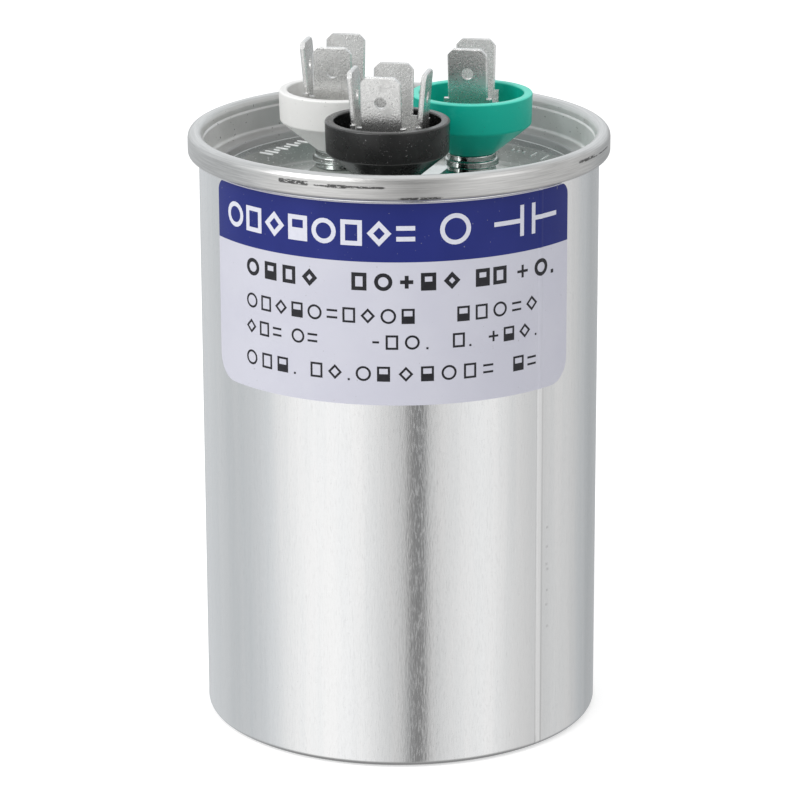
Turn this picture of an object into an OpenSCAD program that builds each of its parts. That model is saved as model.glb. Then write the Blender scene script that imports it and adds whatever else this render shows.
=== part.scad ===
// Motor run capacitor with two sections: a drawn can, a pressed lid held by a double seam,
// three insulated terminals with push-on tabs, and the wound element with its leads inside.
// Millimetres. Origin at the centre of the can's bottom, +Z up, the label faces -Y.

/* [Can] */
// Outer diameter of the can's wall
can_d = 63.5; // [60:0.5:70]
// Overall height, from the bottom to the top of the seam
height = 96.2; // [90:0.5:120]
// Thickness of the can's sheet
can_t = 0.4; // [0.3:0.05:0.5]
// Outer radius of the can's bottom corner
can_corner = 1; // [0.6:0.1:2]
// How far the can's wall steps out under the seam
mouth_step = 0.22; // [0.15:0.01:0.35]
// Direction of the draw line down the can's wall, in degrees from +X
bead_angle = -47; // [-80:1:80]
// Width of the draw line
bead_w = 0.9; // [0.5:0.1:1.5]
// Height of the draw line above the wall
bead_h = 0.08; // [0.04:0.01:0.15]

/* [Lid and seam] */
// Thickness of the lid's sheet
lid_t = 0.35; // [0.25:0.05:0.4]
// Height of the seam's outer face
seam_h = 3.9; // [3.5:0.1:4.5]
// Gap between sheets that lie against each other in the seam
seam_gap = 0.05; // [0.03:0.01:0.08]
// Play on each side of the lid's hook, filled by sealing compound
hook_play = 0.19; // [0.15:0.01:0.3]
// Depth of the lid's panel below the top of the seam
deck_depth = 7; // [6:0.1:9]
// Height of the shelf round the panel
shelf_h = 1.25; // [1.1:0.05:1.6]
// Diameter of the panel inside the shelf
panel_d = 56.6; // [52:0.2:57.4]
// Depth of the step in the lid's wall below the top of the seam
chuck_step_depth = 1.85; // [1.7:0.05:2.2]

/* [Terminals] */
// Distance of the terminals from the can's axis
terminal_r = 13.2; // [13:0.1:15]
// Direction of the common terminal, in degrees from +X
common_angle = 262.2; // [250:0.1:290]
// Angle of the other two terminals either side of the line opposite the common one
flank_angle = 54; // [50:1:62]
// Outer diameter of the lid's neck under each terminal
neck_d = 7.9; // [7.4:0.1:8.4]
// Height of each neck above the panel
neck_h = 1.55; // [1.4:0.05:2.4]
// Height of the wider collar at each neck's foot
collar_h = 0.65; // [0.55:0.05:0.8]
// Diameter of the hole in each neck
neck_hole_d = 4.4; // [4.2:0.1:5]

/* [Cups] */
// Outer diameter at the lip of an insulating cup
cup_lip_d = 19.5; // [18.6:0.1:20.4]
// Outer diameter at the lower edge of the cup's band
cup_band_d = 19.2; // [18.4:0.1:20]
// Outer diameter of the cup's foot
cup_foot_d = 7.96; // [7:0.1:8.6]
// Height of a cup
cup_h = 9.65; // [9:0.1:11]
// Height of the band above the cone
cup_band_h = 5; // [4:0.1:5.5]
// Thickness of the cup's wall
cup_wall = 1.4; // [1:0.1:1.6]
// Thickness of the cup's floor
cup_floor = 3.3; // [3:0.1:3.8]

/* [Tabs] */
// Width of a push-on tab
tab_w = 6.35; // [6.2:0.05:6.4]
// Thickness of the tab's brass strip
tab_t = 0.8; // [0.75:0.01:0.85]
// Length of a tab above its shoulders
tab_l = 8.2; // [7.8:0.1:9]
// Height of the tabs above the cup's floor
tab_rise = 14.2; // [13.5:0.1:16]
// Width of each shoulder beside the tab
shoulder_w = 0.65; // [0.4:0.05:0.7]
// Chamfer on each top corner of a tab
tab_chamfer = 1.05; // [0.8:0.05:1.3]
// Bevel along the tab's edges
tab_bevel = 0.2; // [0.1:0.02:0.3]
// Diameter of the detent hole in a tab
tab_hole_d = 1.9; // [1.6:0.1:2.1]
// Distance of the hole from the tab's tip
tab_hole_drop = 4.05; // [3.6:0.05:4.4]
// How far the tabs lean outwards, in degrees
tab_lean = 5; // [0:0.5:6]
// Turn of the tab sets about their own axes, in degrees
tab_turn = -11; // [-20:1:20]
// Distance of the front and back tabs' feet from the axis of a set with side tabs
wide_spread = 4.3; // [4.25:0.05:4.5]
// Distance of a left tab's foot from its set's axis
left_spread = 4.25; // [4.25:0.05:4.5]
// Distance of a right tab's foot from its set's axis
right_spread = 5.1; // [4.25:0.05:5.2]
// Distance of a tab's foot from the axis of a set with two tabs
narrow_spread = 2.9; // [2.9:0.1:4]

/* [Rivets and inner insulation] */
// Diameter of a terminal rivet's shank
rivet_d = 3; // [2.6:0.1:3.2]
// Diameter of a rivet's head
rivet_head_d = 4.2; // [3.8:0.1:4.3]
// Height of a rivet's head
rivet_head_h = 0.9; // [0.7:0.1:1.2]
// Clearance between parts that fit round each other at the terminals
fit_gap = 0.05; // [0.03:0.01:0.08]
// Diameter of the inner bushing's flange under the lid
bushing_d = 11.6; // [10:0.2:13]
// Thickness of the inner bushing's flange
bushing_t = 1; // [0.8:0.1:1.4]

/* [Leads] */
// Width of a lead strip
lead_w = 3; // [2:0.1:3.5]
// Thickness of a lead strip
lead_t = 0.3; // [0.2:0.05:0.4]
// Thickness of a contact lug
lug_t = 0.4; // [0.3:0.05:0.5]
// Diameter of a contact lug
lug_d = 6.8; // [6.4:0.1:7.6]
// Distance of a lug's tongue from the terminal's axis
tongue_reach = 5.3; // [5:0.1:6]
// Length of a lug's tongue
tongue_l = 2.6; // [2:0.1:3.2]
// Length of a lead's foot on the end of a section
foot_l = 4.2; // [3:0.1:5]

/* [Wound element] */
// Space between the lid's panel and the top of the wound element
head_room = 14.6; // [13.5:0.1:18]
// Inner diameter of the core tube
core_d = 8; // [6:0.1:9]
// Wall of the core tube
core_wall = 1.5; // [1:0.1:2]
// Outer diameter of the inner section, which serves the fan
fan_section_d = 28.4; // [25:0.2:31]
// Thickness of the film wrap between the sections
divider_t = 0.6; // [0.4:0.05:0.8]
// Thickness of the wrap round the outside
wrap_t = 0.8; // [0.5:0.1:1.2]
// Oil space between the outer wrap and the can's wall
oil_gap = 1.95; // [1.6:0.05:2.5]
// Play between neighbouring turns of different parts
roll_gap = 0.05; // [0.02:0.01:0.1]
// Thickness of the sprayed zinc on a section's end
zinc_t = 0.5; // [0.3:0.1:0.8]

/* [Insulators] */
// Play between an insulator and the can's wall
can_play = 0.15; // [0.1:0.05:0.25]
// Thickness of the bottom insulator
base_cup_t = 0.8; // [0.6:0.1:1.2]
// Height of the bottom insulator's wall
base_cup_h = 6; // [4:0.5:10]
// Height of the seat ring that lifts the element off the bottom insulator
seat_h = 0.4; // [0.35:0.05:0.6]
// Thickness of the disconnect plate
plate_t = 1.5; // [1.2:0.1:2]
// Depth of the disconnect plate's upper face below the panel
plate_depth = 7.2; // [6.6:0.1:8.2]
// Width of the rib on the plate that bears against the lid's panel
plate_rim = 1.8; // [1.4:0.1:2]
// How far the rib stands inside the edge of the lid's panel
rib_inset = 1; // [0.8:0.1:2]
// Diameter of the lead holes in the disconnect plate
lead_hole_d = 4.6; // [4.2:0.1:6]
// Wall of the spacer ring under the disconnect plate
spacer_wall = 3; // [2:0.1:3.4]
// Width of the six oil notches in the spacer ring's foot
spacer_notch_w = 6; // [3:0.5:10]
// Height of those notches
spacer_notch_h = 1.5; // [0.5:0.5:3]

/* [Label] */
// Left edge of the label, in degrees from the front
label_left = -61.5; // [-70:0.5:-40]
// Right edge of the label, in degrees from the front
label_right = 54.7; // [50:0.1:70]
// Height of the label's lower edge above the bottom
label_low = 59.8; // [50:0.2:70]
// Gap between the label's upper edge and the seam
label_drop = 0.5; // [0.4:0.1:3]
// Thickness of the label's film
label_t = 0.1; // [0.06:0.01:0.15]
// Glue line under the label
label_glue = 0.02; // [0.01:0.01:0.03]
// Radius of the label's upper corners
label_top_corner = 2; // [1:0.5:4]
// Radius of the label's lower corners
label_low_corner = 4; // [1:0.5:5]

/* [Hidden] */
$fn = 96;
arc_steps = 6;
cut = 1;

// Can and seam, from the wall outwards. The can's hook ends a little above the lid's curl and the
// lid's hook a little below the crown; step_h is the rise and the bend of the can's mouth.
hook_end_clear = 0.8;
lid_hook_clear = 0.3;
step_h = 0.3;
bead_end_clear = 0.2;
compound_play = 0.03;
can_r = can_d / 2;
can_in_r = can_r - can_t;
mouth_r = can_r + mouth_step;
hook_in_r = mouth_r + lid_t + 2 * hook_play;
hook_out_r = hook_in_r + can_t;
seam_r = hook_out_r + seam_gap + lid_t;
crown_r = (seam_r - (mouth_r - can_t - seam_gap - lid_t)) / 2;
crown_x = seam_r - crown_r;
crown_z = height - crown_r;
seam_low_z = height - seam_h;
curl_r = (seam_r - lid_t / 2 - crown_x) / 2;
hook_end_z = seam_low_z + lid_t + hook_end_clear;
lid_hook_top_z = crown_z - lid_hook_clear;

// Lid: bends, the slope from the panel to the shelf, the collar and the neck's flat foot
lid_bend = lid_t * 0.57;
panel_bend = 0.4;
panel_slope = 0.5;
shelf_bend = 0.7;
wall_step = 0.15;
collar_w = lid_t * 1.3;
neck_foot_w = 1;
neck_foot_lap = 0.2;
deck_z = height - deck_depth;
deck_low_z = deck_z - lid_t;
shelf_z = deck_z + shelf_h;
wall_mid_r = can_in_r - seam_gap - lid_t / 2;
wall_top_mid_r = crown_x - crown_r + lid_t / 2;
lid_step_z = height - chuck_step_depth;
wall_top_z = lid_step_z - 2 * step_h;
neck_z = deck_z + neck_h;
neck_root_r = neck_d / 2 + collar_w + neck_foot_w;
neck_hole_r = neck_hole_d / 2;

// Terminals: direction from the can's axis, then each tab's side (0 is the front, 90 the
// right) and the distance of its foot from the terminal's axis
front_and_back = [[0, wide_spread], [180, wide_spread]];
left = [270, left_spread];
right = [90, right_spread];
common = [common_angle, concat(front_and_back, [left, right])];
compressor = [common_angle - 180 + flank_angle, concat(front_and_back, [left])];
fan = [common_angle - 180 - flank_angle, [[0, narrow_spread], [180, narrow_spread]]];
terminals = [common, compressor, fan];

// Cups and tabs
cup_floor_z = neck_z + cup_floor;
cup_lip_z = neck_z + cup_h;
cup_band_z = cup_lip_z - cup_band_h;
rivet_r = rivet_d / 2;
rivet_tail_h = 0.7;
bore_r = rivet_r + fit_gap;
sleeve_r = neck_hole_r - 2 * fit_gap;
sleeve_top_z = neck_z + 1;
tab_run = (tab_rise - tab_t / 2) / cos(tab_lean);
tab_bend = tab_t * 0.9;
plate_top_z = cup_floor_z + tab_t;

// Stack under the lid. The leads are welded to the lugs' tongues from weld_drop down, bend at
// lead_bend, and the common lead turns in turn_rise over the plate.
weld_drop = 0.6;
lead_bend = 0.5;
turn_rise = 2.2;
bushing_low_z = deck_low_z - bushing_t;
lug_low_z = bushing_low_z - lug_t;
lead_s = tongue_reach + (lug_t + lead_t) / 2;
lead_top_z = lug_low_z - weld_drop;
plate_z = deck_z - plate_depth;
plate_low_z = plate_z - plate_t;

// Wound element
core_r = core_d / 2;
core_out_r = core_r + core_wall;
fan_r = fan_section_d / 2;
divider_out_r = fan_r + roll_gap + divider_t;
wrap_out_r = can_in_r - oil_gap;
roll_r = wrap_out_r - wrap_t - roll_gap;
wrap_overhang = 0.6;
wrap_top_z = deck_z - head_room + wrap_overhang;
base_z = can_t + base_cup_t;
seat_z = base_z + seat_h;
element_top_z = deck_z - head_room;
insulator_r = can_in_r - can_play;

// Label
label_r = can_r + label_glue;
label_top_z = seam_low_z - label_drop;

// ---- Outlines ----

function unit(v) = v / norm(v);
function across(v) = [-v[1], v[0]];

// Arc of radius r that rounds corner b between neighbours a and c
function corner_arc(a, b, c, r) =
    let (u = unit(a - b), v = unit(c - b), half = acos(u * v) / 2)
    let (centre = b + unit(u + v) * r / sin(half), reach = r / tan(half))
    let (from = b + u * reach - centre, to = b + v * reach - centre)
    let (start = atan2(from[1], from[0]), turn = atan2(to[1], to[0]) - start)
    let (sweep = turn > 180 ? turn - 360 : turn < -180 ? turn + 360 : turn)
    [for (i = [0:arc_steps]) let (w = start + sweep * i / arc_steps) centre + r * [cos(w), sin(w)]];

function flat(p) = [p[0], p[1]];

// Points of a path through corners given as [x, y] or [x, y, rounding radius]
function rounded(corners) =
    let (last = len(corners) - 1)
    let (points = [for (i = [0:last]) each
        len(corners[i]) == 2 ? [corners[i]]
        : corner_arc(flat(corners[i - 1]), flat(corners[i]), flat(corners[i + 1]), corners[i][2])])
    [for (i = [0:len(points) - 1]) if (i == 0 || norm(points[i] - points[i - 1]) > 0.001) points[i]];

// Mitred sideways direction of a path at point i
function sideways(path, i) =
    let (last = len(path) - 1)
    let (before = across(unit(path[max(i, 1)] - path[max(i, 1) - 1])))
    let (after = across(unit(path[min(i, last - 1) + 1] - path[min(i, last - 1)])))
    (before + after) / (1 + before * after);

// Outline of a sheet of thickness t whose middle follows the rounded corners
function sheet(corners, t) =
    let (path = rounded(corners), last = len(path) - 1)
    concat(
        [for (i = [0:last]) path[i] + sideways(path, i) * t / 2],
        [for (i = [last:-1:0]) path[i] - sideways(path, i) * t / 2]);

module revolve(outline) {
    rotate_extrude() polygon(outline);
}

module ring(r_in, r_out, z_low, z_high) {
    revolve([[r_in, z_low], [r_out, z_low], [r_out, z_high], [r_in, z_high]]);
}

// A strip of width w whose side view is the outline, standing in the X-Z plane
module strip(outline, w) {
    rotate([90, 0, 0]) linear_extrude(w, center = true) polygon(outline);
}

module at_terminal(t) {
    rotate(t[0]) translate([terminal_r, 0, 0]) children();
}

module round_hole(r, z_low, z_high) {
    translate([0, 0, z_low]) cylinder(r = r, h = z_high - z_low);
}

// ---- Can, lid and seam ----

can_corners = [
    [0, can_t / 2],
    [can_r - can_t / 2, can_t / 2, can_corner - can_t / 2],
    [can_r - can_t / 2, wall_top_z, step_h],
    [mouth_r - can_t / 2, wall_top_z + step_h, step_h],
    [mouth_r - can_t / 2, height - lid_t - seam_gap - can_t / 2, crown_r - lid_t - seam_gap - can_t / 2],
    [hook_out_r - can_t / 2, height - lid_t - seam_gap - can_t / 2, crown_r - lid_t - seam_gap - can_t / 2],
    [hook_out_r - can_t / 2, hook_end_z]
];

lid_corners = [
    [0, deck_z - lid_t / 2],
    [panel_d / 2, deck_z - lid_t / 2, panel_bend],
    [panel_d / 2 + panel_slope, shelf_z - lid_t / 2, panel_bend],
    [wall_mid_r, shelf_z - lid_t / 2 + panel_bend, shelf_bend],
    [wall_mid_r, lid_step_z - wall_step, lid_bend],
    [wall_top_mid_r, lid_step_z + wall_step, lid_bend],
    [wall_top_mid_r, height - lid_t / 2, crown_r - lid_t / 2],
    [seam_r - lid_t / 2, height - lid_t / 2, crown_r - lid_t / 2],
    [seam_r - lid_t / 2, seam_low_z + lid_t / 2, curl_r],
    [crown_x, seam_low_z + lid_t / 2, curl_r],
    [crown_x, lid_hook_top_z]
];

neck_corners = [
    [neck_hole_r, neck_z - lid_t / 2],
    [(neck_d - lid_t) / 2, neck_z - lid_t / 2, lid_bend],
    [(neck_d - lid_t) / 2, deck_z + collar_h - lid_t / 2, lid_bend],
    [(neck_d - lid_t) / 2 + collar_w, deck_z + collar_h - lid_t / 2, lid_bend],
    [(neck_d - lid_t) / 2 + collar_w, deck_z - lid_t / 2, lid_bend],
    [neck_root_r + neck_foot_lap, deck_z - lid_t / 2]
];

// Plan of the can's wall and its round-backed draw line, both moved out by grow
module wall_section(grow) {
    back_r = (bead_w * bead_w / 4 + bead_h * bead_h) / (2 * bead_h);
    circle(can_r + grow);
    rotate(bead_angle) translate([can_r + bead_h - back_r, 0]) circle(back_r + grow);
}

module can() {
    color([0.84, 0.84, 0.85]) {
        revolve(sheet(can_corners, can_t));
        translate([0, 0, can_corner])
            linear_extrude(wall_top_z - bead_end_clear - can_corner) difference() {
                wall_section(0);
                circle(can_r - can_t / 2);
            }
    }
}

module lid() {
    color([0.72, 0.73, 0.72]) {
        difference() {
            revolve(sheet(lid_corners, lid_t));
            for (t = terminals) at_terminal(t) round_hole(neck_root_r, deck_low_z - cut, deck_z + cut);
        }
        for (t = terminals) at_terminal(t) revolve(sheet(neck_corners, lid_t));
    }
}

module seam_compound() {
    color([0.25, 0.25, 0.27])
        ring(mouth_r + compound_play, crown_x - lid_t / 2 - compound_play,
            wall_top_z + step_h + compound_play, lid_hook_top_z);
}

// ---- Label ----

module label() {
    a_low = label_left - 90;
    a_high = label_right - 90;
    far = 2 * can_r;
    color([0.84, 0.84, 0.9])
        difference() {
            translate([0, 0, label_low]) linear_extrude(label_top_z - label_low) difference() {
                wall_section(label_glue + label_t);
                wall_section(label_glue);
                polygon([[0, 0], far * [cos(a_high), sin(a_high)], [far, far], [-far, far],
                    far * [cos(a_low), sin(a_low)]]);
            }
            for (side = [-1, 1], end = [-1, 1]) label_corner(side, end);
        }
}

// Cutter that rounds one corner: side is left or right, end is lower or upper. The arc's centre
// is a nick off the tangent one, so that the arc meets both edges at a clean angle.
module label_corner(side, end) {
    nick = 0.02;
    r = end > 0 ? label_top_corner : label_low_corner;
    inset = r - nick;
    edge = side > 0 ? label_right : label_left;
    z = end > 0 ? label_top_z - inset : label_low + inset;
    quarter = side > 0 ? (end > 0 ? 0 : 270) : (end > 0 ? 90 : 180);
    rotate(edge - 90 - side * inset / label_r * 180 / PI) translate([can_r - cut, 0, z])
        rotate([90, 0, 90]) linear_extrude(3 * cut)
        rotate(quarter) difference() {
            square(r + cut);
            circle(r);
        }
}

// ---- Terminals ----

module cup(t, shade) {
    socket_r = sleeve_r + fit_gap;
    mouth = cup_lip_d / 2 - cup_wall;
    edge_r = 0.3;
    band_r = 0.5;
    color(shade) at_terminal(t)
        revolve(rounded([
            [bore_r, cup_floor_z],
            [cup_band_d / 2 - 2 * cup_wall - band_r, cup_floor_z, edge_r],
            [cup_band_d / 2 - cup_wall, cup_band_z + band_r, band_r],
            [mouth, cup_lip_z, edge_r],
            [cup_lip_d / 2, cup_lip_z, edge_r],
            [cup_band_d / 2, cup_band_z, band_r],
            [cup_foot_d / 2, neck_z],
            [socket_r, neck_z],
            [socket_r, sleeve_top_z + fit_gap],
            [bore_r, sleeve_top_z + fit_gap]
        ]));
}

// Tab seen from its face, from below the shoulders to the tip
function tab_outline() =
    [[-tab_w / 2, -cut], [tab_w / 2, -cut], [tab_w / 2, tab_run - tab_chamfer],
     [tab_w / 2 - tab_chamfer, tab_run], [-tab_w / 2 + tab_chamfer, tab_run],
     [-tab_w / 2, tab_run - tab_chamfer]];

// What is cut from a plain strip to leave the tab, its shoulders, hole and bevels
module tab_cutters() {
    shoulder_z = tab_run - tab_l;
    rotate([90, 0, 90]) linear_extrude(4 * tab_t, center = true) {
        difference() {
            translate([-tab_w, shoulder_z]) square([2 * tab_w, tab_l + cut]);
            polygon(tab_outline());
        }
        translate([0, tab_run - tab_hole_drop]) circle(tab_hole_d / 2, $fn = 32);
    }
    for (side = [-1, 1]) {
        for (face = [-1, 1]) {
            translate([face * tab_t / 2, side * tab_w / 2, shoulder_z])
                rotate(45) linear_extrude(tab_l + cut) square(tab_bevel * sqrt(2), center = true);
        }
        translate([side * tab_t / 2, 0, tab_run]) rotate([90, 0, 0])
            rotate(45) linear_extrude(tab_w + cut, center = true)
            square(tab_bevel * sqrt(2), center = true);
    }
}

module tab_arm(spread) {
    foot_z = cup_floor_z + tab_t / 2;
    difference() {
        strip(sheet([
            [0, foot_z],
            [spread, foot_z, tab_bend],
            [spread + tab_run * sin(tab_lean), foot_z + tab_run * cos(tab_lean)]
        ], tab_t), tab_w + 2 * shoulder_w);
        translate([spread, 0, foot_z]) rotate([0, tab_lean, 0]) tab_cutters();
    }
}

module tabs(t) {
    color([0.78, 0.78, 0.78]) at_terminal(t) rotate(tab_turn - 90 - t[0])
        difference() {
            for (tab = t[1]) rotate(tab[0]) tab_arm(tab[1]);
            round_hole(bore_r, cup_floor_z - cut, plate_top_z + cut);
        }
}

module rivet(t) {
    head_z = plate_top_z + rivet_head_h;
    tail_z = lug_low_z - rivet_tail_h;
    tail_r = rivet_head_d / 2 - 0.2;
    color([0.8, 0.78, 0.72]) at_terminal(t)
        revolve(rounded([
            [0, tail_z], [tail_r, tail_z, rivet_tail_h / 2],
            [tail_r, lug_low_z], [rivet_r, lug_low_z],
            [rivet_r, plate_top_z], [rivet_head_d / 2, plate_top_z],
            [rivet_head_d / 2, head_z, rivet_head_h * 2 / 3], [0, head_z]
        ]));
}

module bushing(t) {
    plug_r = neck_d / 2 - lid_t - fit_gap;
    color([0.93, 0.9, 0.8]) at_terminal(t)
        revolve([
            [bore_r, bushing_low_z], [bushing_d / 2, bushing_low_z],
            [bushing_d / 2, deck_low_z], [plug_r, deck_low_z],
            [plug_r, neck_z - lid_t - lid_bend], [plug_r - lid_bend, neck_z - lid_t],
            [sleeve_r, neck_z - lid_t], [sleeve_r, sleeve_top_z], [bore_r, sleeve_top_z]
        ]);
}

// ---- Lugs and leads, each in the upright plane through its terminal and the can's axis ----

// Inwards faces the can's axis, outwards faces the wall
module in_lead_plane(t, inwards) {
    at_terminal(t) rotate(inwards ? 180 : 0) children();
}

module lug(t, inwards) {
    mid_z = lug_low_z + lug_t / 2;
    color([0.85, 0.74, 0.45]) in_lead_plane(t, inwards) {
        ring(bore_r, lug_d / 2, lug_low_z, bushing_low_z);
        strip(sheet([
            [lug_d / 2 - 1, mid_z], [tongue_reach, mid_z, lug_t], [tongue_reach, mid_z - tongue_l]
        ], lug_t), lead_w);
    }
}

module lead(t, inwards, corners) {
    color([0.82, 0.82, 0.8]) in_lead_plane(t, inwards)
        strip(sheet(concat([[lead_s, lead_top_z]], corners), lead_t), lead_w);
}

module lead_to_section(t, inwards, step) {
    foot_z = element_top_z + lead_t / 2;
    lead(t, inwards, [[lead_s, foot_z, lead_bend], [lead_s + step, foot_z]]);
}

// The common lead turns in over the plate, drops through the core and ends under the zinc
module lead_through_core(t) {
    turn_z = plate_z + turn_rise;
    foot_z = seat_z - lead_t / 2;
    drop_s = terminal_r - core_r / 4;
    lead(t, true, [
        [lead_s, turn_z, lead_bend], [drop_s, turn_z, lead_bend], [drop_s, foot_z, lead_bend],
        [terminal_r + core_out_r + foot_l, foot_z]
    ]);
}

// ---- Disconnect plate and insulators ----

module disconnect_plate() {
    rib_r = panel_d / 2 - rib_inset;
    rib_top_z = deck_low_z - fit_gap;
    color([0.7, 0.45, 0.25])
        difference() {
            revolve([
                [0, plate_low_z], [insulator_r, plate_low_z], [insulator_r, plate_z],
                [rib_r, plate_z], [rib_r, rib_top_z], [rib_r - plate_rim, rib_top_z],
                [rib_r - plate_rim, plate_z], [0, plate_z]
            ]);
            round_hole(lead_hole_d / 2, plate_low_z - cut, plate_z + cut);
            in_lead_plane(compressor, false) translate([lead_s, 0, 0])
                round_hole(lead_hole_d / 2, plate_low_z - cut, plate_z + cut);
            in_lead_plane(fan, true) translate([lead_s, 0, 0])
                round_hole(lead_hole_d / 2, plate_low_z - cut, plate_z + cut);
        }
}

module spacer_ring() {
    color([0.9, 0.88, 0.82])
        difference() {
            ring(roll_r - spacer_wall, roll_r, element_top_z, plate_low_z);
            for (a = [0:60:120]) rotate(a) translate([0, 0, element_top_z])
                cube([2 * can_r, spacer_notch_w, 2 * spacer_notch_h], center = true);
        }
}

module base_cup() {
    chamfer = 0.8;
    color([0.9, 0.88, 0.82])
        revolve([
            [0, can_t], [insulator_r - chamfer, can_t], [insulator_r, can_t + chamfer],
            [insulator_r, can_t + base_cup_h], [insulator_r - base_cup_t, can_t + base_cup_h],
            [insulator_r - base_cup_t, base_z], [wrap_out_r, base_z], [wrap_out_r, seat_z],
            [fan_r, seat_z], [fan_r, base_z], [0, base_z]
        ]);
}

// ---- Wound element ----

module core_tube() {
    color([0.35, 0.35, 0.38])
        ring(core_r, core_out_r, seat_z, wrap_top_z);
}

module section(r_in, r_out) {
    color([0.87, 0.85, 0.76])
        ring(r_in, r_out, seat_z + zinc_t, element_top_z - zinc_t);
}

module zinc(r_in, r_out, z_low) {
    color([0.62, 0.64, 0.66])
        ring(r_in, r_out, z_low, z_low + zinc_t);
}

module divider_wrap() {
    color([0.93, 0.93, 0.88])
        ring(fan_r + roll_gap, divider_out_r, seat_z + zinc_t, wrap_top_z);
}

module outer_wrap() {
    color([0.93, 0.93, 0.88])
        ring(roll_r + roll_gap, wrap_out_r, seat_z, wrap_top_z);
}

can();
lid();
seam_compound();
label();
cup(common, [0.14, 0.14, 0.15]);  // cup_common
cup(compressor, [0.88, 0.88, 0.87]);  // cup_compressor
cup(fan, [0.1, 0.65, 0.54]);  // cup_fan
tabs(common);  // tabs_common
tabs(compressor);  // tabs_compressor
tabs(fan);  // tabs_fan
rivet(common);  // rivet_common
rivet(compressor);  // rivet_compressor
rivet(fan);  // rivet_fan
bushing(common);  // bushing_common
bushing(compressor);  // bushing_compressor
bushing(fan);  // bushing_fan
lug(common, true);  // lug_common
lug(compressor, false);  // lug_compressor
lug(fan, true);  // lug_fan
lead_through_core(common);  // lead_common
lead_to_section(compressor, false, foot_l);  // lead_compressor
lead_to_section(fan, true, -foot_l);  // lead_fan
disconnect_plate();
spacer_ring();
core_tube();
section(core_out_r + roll_gap, fan_r);  // section_fan
section(divider_out_r + roll_gap, roll_r);  // section_compressor
divider_wrap();
outer_wrap();
zinc(core_out_r + roll_gap, roll_r, seat_z);  // zinc_common
zinc(divider_out_r + roll_gap, roll_r, element_top_z - zinc_t);  // zinc_compressor
zinc(core_out_r + roll_gap, fan_r, element_top_z - zinc_t);  // zinc_fan
base_cup();
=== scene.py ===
"""A two-section motor run capacitor: its finishes, its printed label and a small studio.

Lengths are in metres unless a comment says otherwise. Patterns and drawings are worked out in
millimetres, with angles in degrees from the front of the can, positive to the right.
"""

import math

import bpy
from mathutils import Matrix, Vector


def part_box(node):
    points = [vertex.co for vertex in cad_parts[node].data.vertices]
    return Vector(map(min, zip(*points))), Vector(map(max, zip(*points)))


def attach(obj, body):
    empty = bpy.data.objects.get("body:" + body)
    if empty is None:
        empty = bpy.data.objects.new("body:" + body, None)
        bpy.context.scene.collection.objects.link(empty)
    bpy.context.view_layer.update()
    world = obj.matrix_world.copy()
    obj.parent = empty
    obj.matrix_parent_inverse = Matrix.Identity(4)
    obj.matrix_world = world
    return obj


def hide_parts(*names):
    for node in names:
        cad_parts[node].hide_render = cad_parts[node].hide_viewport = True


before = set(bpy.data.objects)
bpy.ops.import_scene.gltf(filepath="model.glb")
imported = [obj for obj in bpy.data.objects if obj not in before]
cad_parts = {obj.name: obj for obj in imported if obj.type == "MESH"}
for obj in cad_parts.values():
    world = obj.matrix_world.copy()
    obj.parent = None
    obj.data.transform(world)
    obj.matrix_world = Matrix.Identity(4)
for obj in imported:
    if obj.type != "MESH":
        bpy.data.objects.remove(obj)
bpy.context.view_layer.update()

MM = 0.001
TERMINALS = ("common", "compressor", "fan")

# Heights in millimetres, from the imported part. The lid's deck is 7 mm below the top of its seam
LABEL_LOW, LABEL_TOP = (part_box("label")[end].z / MM for end in (0, 1))
CUP_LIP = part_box("cup_common")[1].z / MM
SEAM_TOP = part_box("lid")[1].z / MM
DECK = SEAM_TOP - 7

# Millimetres: the can's wall and sheet, and the label's film on it
WALL_R = 31.75
SHEET_T = 0.4
FILM_R = WALL_R + 0.12
FILM_T = 0.1
FILM_TOP_CORNER, FILM_LOW_CORNER = 2, 4

# Degrees and millimetres: the film's edges, the foot of its blue band, and the draw line
LABEL_LEFT, LABEL_RIGHT = -61.5, 54.7
BAND_LOW = 82.5
LINE_ANGLE = 43
LINE_H = 0.08
LINE_HALF_W = 0.45

# Millimetres from the can's axis: the step up from the deck, the shelf, the wall inside the lid
# and the inner side of the seam
STEP_R, SHELF_R, LID_WALL_R, SEAM_IN_R = 28.5, 28.8, 30.45, 31.4

# Height of the band above a cup's cone
CUP_BAND_H = 5

# Edges with a larger turn than this stay crisp
SHARP = math.radians(40)


# ---- Shader maths ----


class Value:
    """A socket that carries a number. Arithmetic on it adds Math nodes."""

    def __init__(self, sheet, socket):
        self.sheet = sheet
        self.socket = socket

    def maths(self, operation, *others):
        """A Math node that starts from this value."""
        return self.sheet.node("ShaderNodeMath", {"operation": operation}, [self, *others])

    def __add__(self, other):
        return self.maths("ADD", other)

    def __sub__(self, other):
        return self.maths("SUBTRACT", other)

    def __rsub__(self, other):
        return self.sheet.node("ShaderNodeMath", {"operation": "SUBTRACT"}, [other, self])

    def __mul__(self, other):
        return self.maths("MULTIPLY", other)

    def __truediv__(self, other):
        return self.maths("DIVIDE", other)

    def __abs__(self):
        return self.maths("ABSOLUTE")

    __radd__ = __add__
    __rmul__ = __mul__

    def rise(self, start, end):
        """0 up to start and 1 from end on, with a soft rise between. start may be the larger."""
        low, high = min(start, end), max(start, end)
        ramp = self.sheet.node("ShaderNodeMapRange", {"interpolation_type": "SMOOTHSTEP"},
                               {"Value": self, "From Min": low, "From Max": high})
        return ramp if start < end else 1 - ramp

    def near(self, centre, half_width, soft):
        """1 within half_width of centre, falling to 0 over soft outside it."""
        return abs(self - centre).rise(half_width + soft, half_width)


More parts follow.
